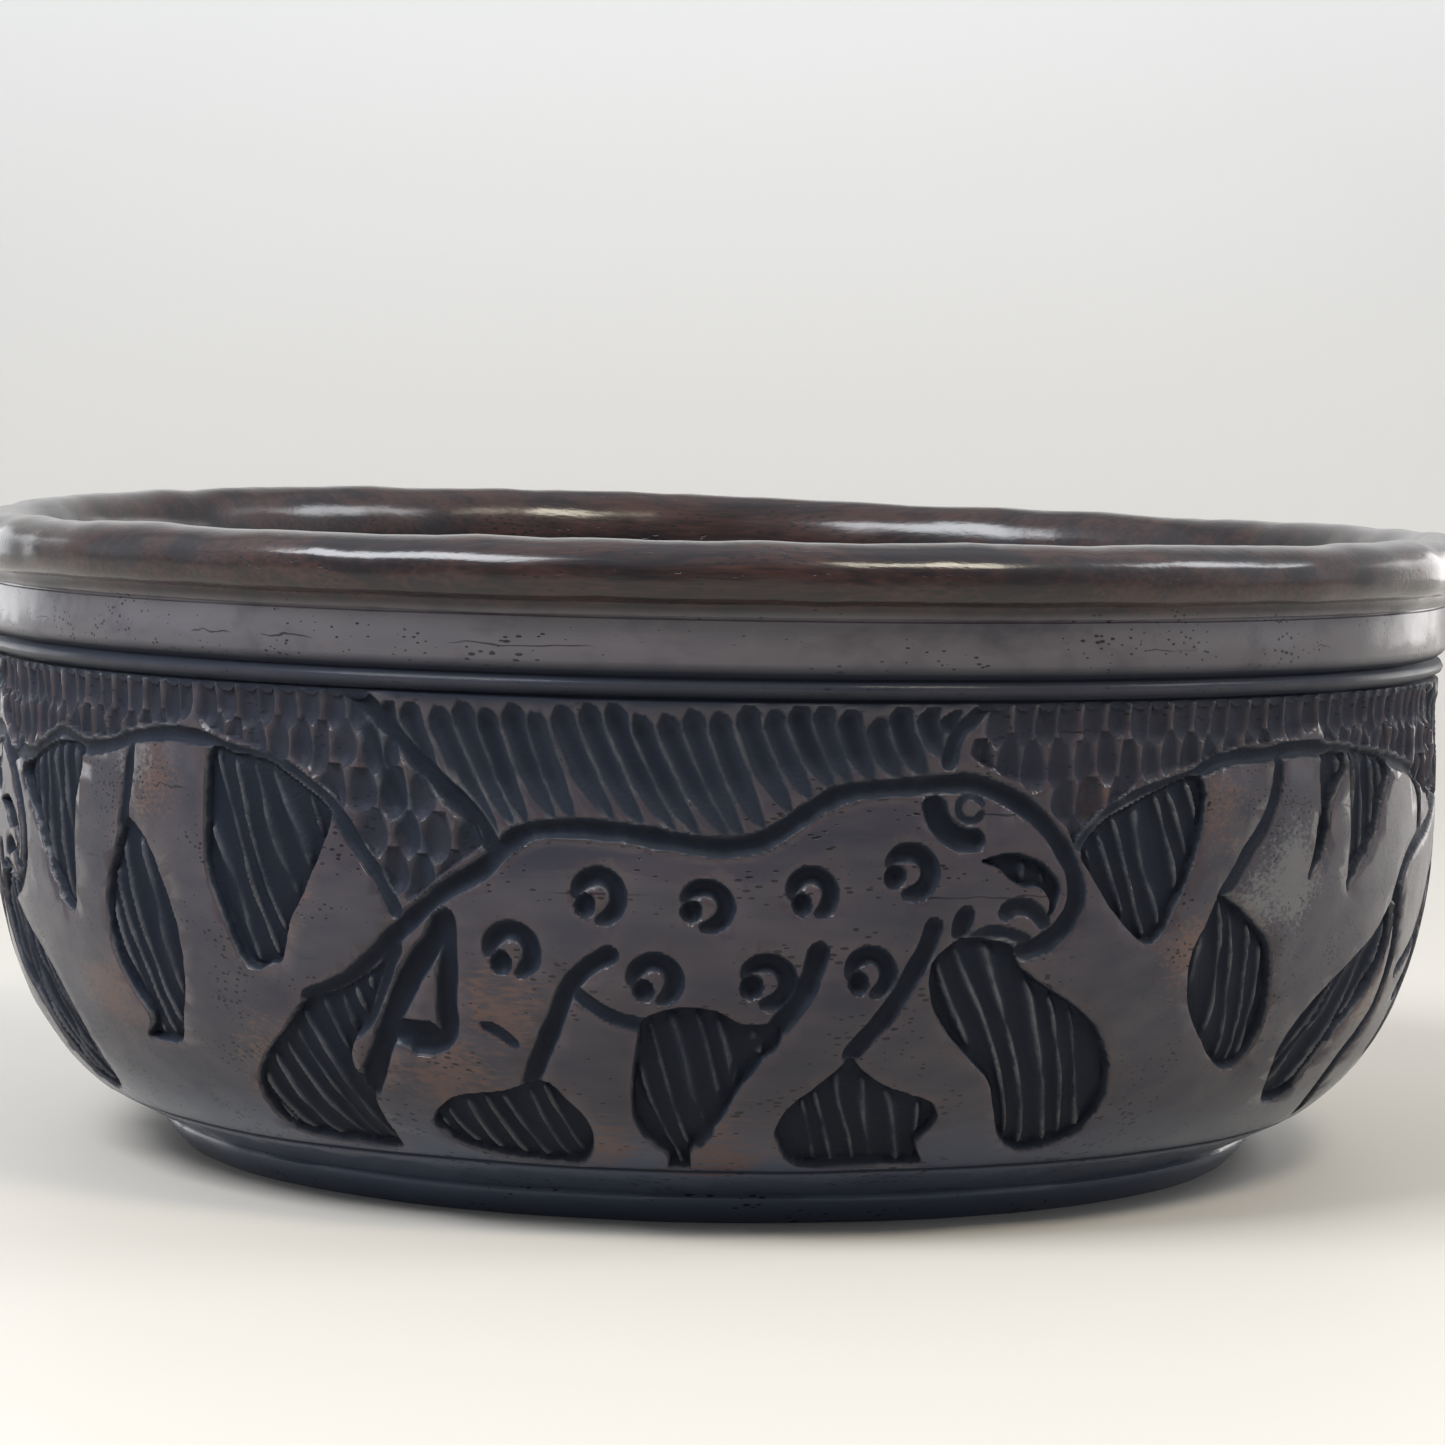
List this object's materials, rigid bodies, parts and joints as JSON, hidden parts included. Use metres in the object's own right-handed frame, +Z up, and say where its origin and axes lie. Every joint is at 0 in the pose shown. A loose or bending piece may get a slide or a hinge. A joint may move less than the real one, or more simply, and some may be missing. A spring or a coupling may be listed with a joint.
{
  "type": "carved wooden bowl",
  "caption": "Deep round bowl carved from one block of dark hardwood, with a rolled rim, a plain collar, an all-round carved wall and a low foot ring.",
  "frame": {"origin": "centre of the foot ring, on the surface that the bowl stands on", "axes": "+Z up along the bowl's axis; -Y faces the viewer and is the side with the leopard; +X is to that viewer's right"},
  "size_m": [0.303, 0.303, 0.125],
  "materials": {
    "stained_hardwood": "black-brown stain, hand waxed and buffed on the high surfaces, matt black in the cuts"
  },
  "bodies": {
    "root": {"bowl": "stained_hardwood"}
  },
  "joints": []
}
